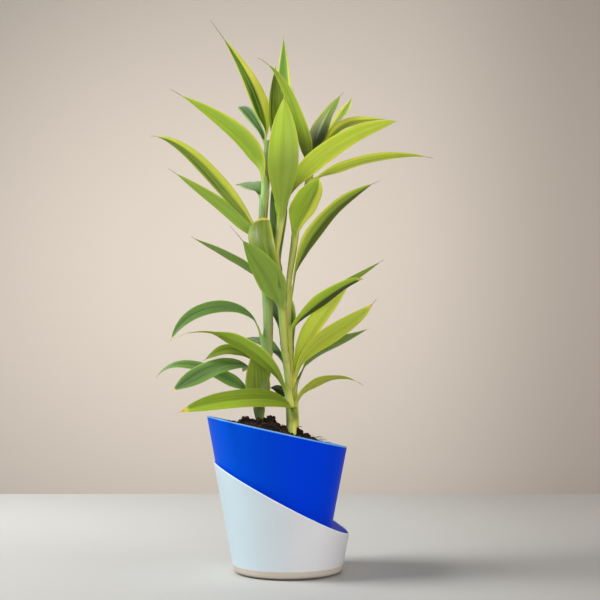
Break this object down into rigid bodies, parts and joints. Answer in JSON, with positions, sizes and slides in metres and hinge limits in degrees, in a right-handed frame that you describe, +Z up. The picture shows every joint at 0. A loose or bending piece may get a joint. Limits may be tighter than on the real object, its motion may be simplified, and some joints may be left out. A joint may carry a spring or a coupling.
{
  "type": "potted lucky bamboo",
  "caption": "Leafy variegated canes in dark soil in a slanted-rim inner pot, standing in a slanted-rim outer cup with a water-filling gap at its low side.",
  "frame": {"origin": "centre of the outer cup's flat foot, on the surface it stands on", "axes": "+Z up, +X towards the low side of both rims, where water is poured in, -Y towards the front"},
  "size_m": [0.2534, 0.1577, 0.4974],
  "materials": {
    "outer_cup": "smooth moulded, satin sheen",
    "inner_pot": "smooth moulded, satin sheen",
    "soil": "dark coconut-fibre potting soil, crumbly and matt",
    "leafy_cane": "waxy living leaf, striped dark green with yellow margins"
  },
  "bodies": {
    "root": {"outer_cup": "outer_cup", "inner_pot": "inner_pot", "soil": "soil", "left_leafy_cane": "leafy_cane", "front_leafy_cane": "leafy_cane", "rear_leafy_cane": "leafy_cane"}
  },
  "joints": []
}
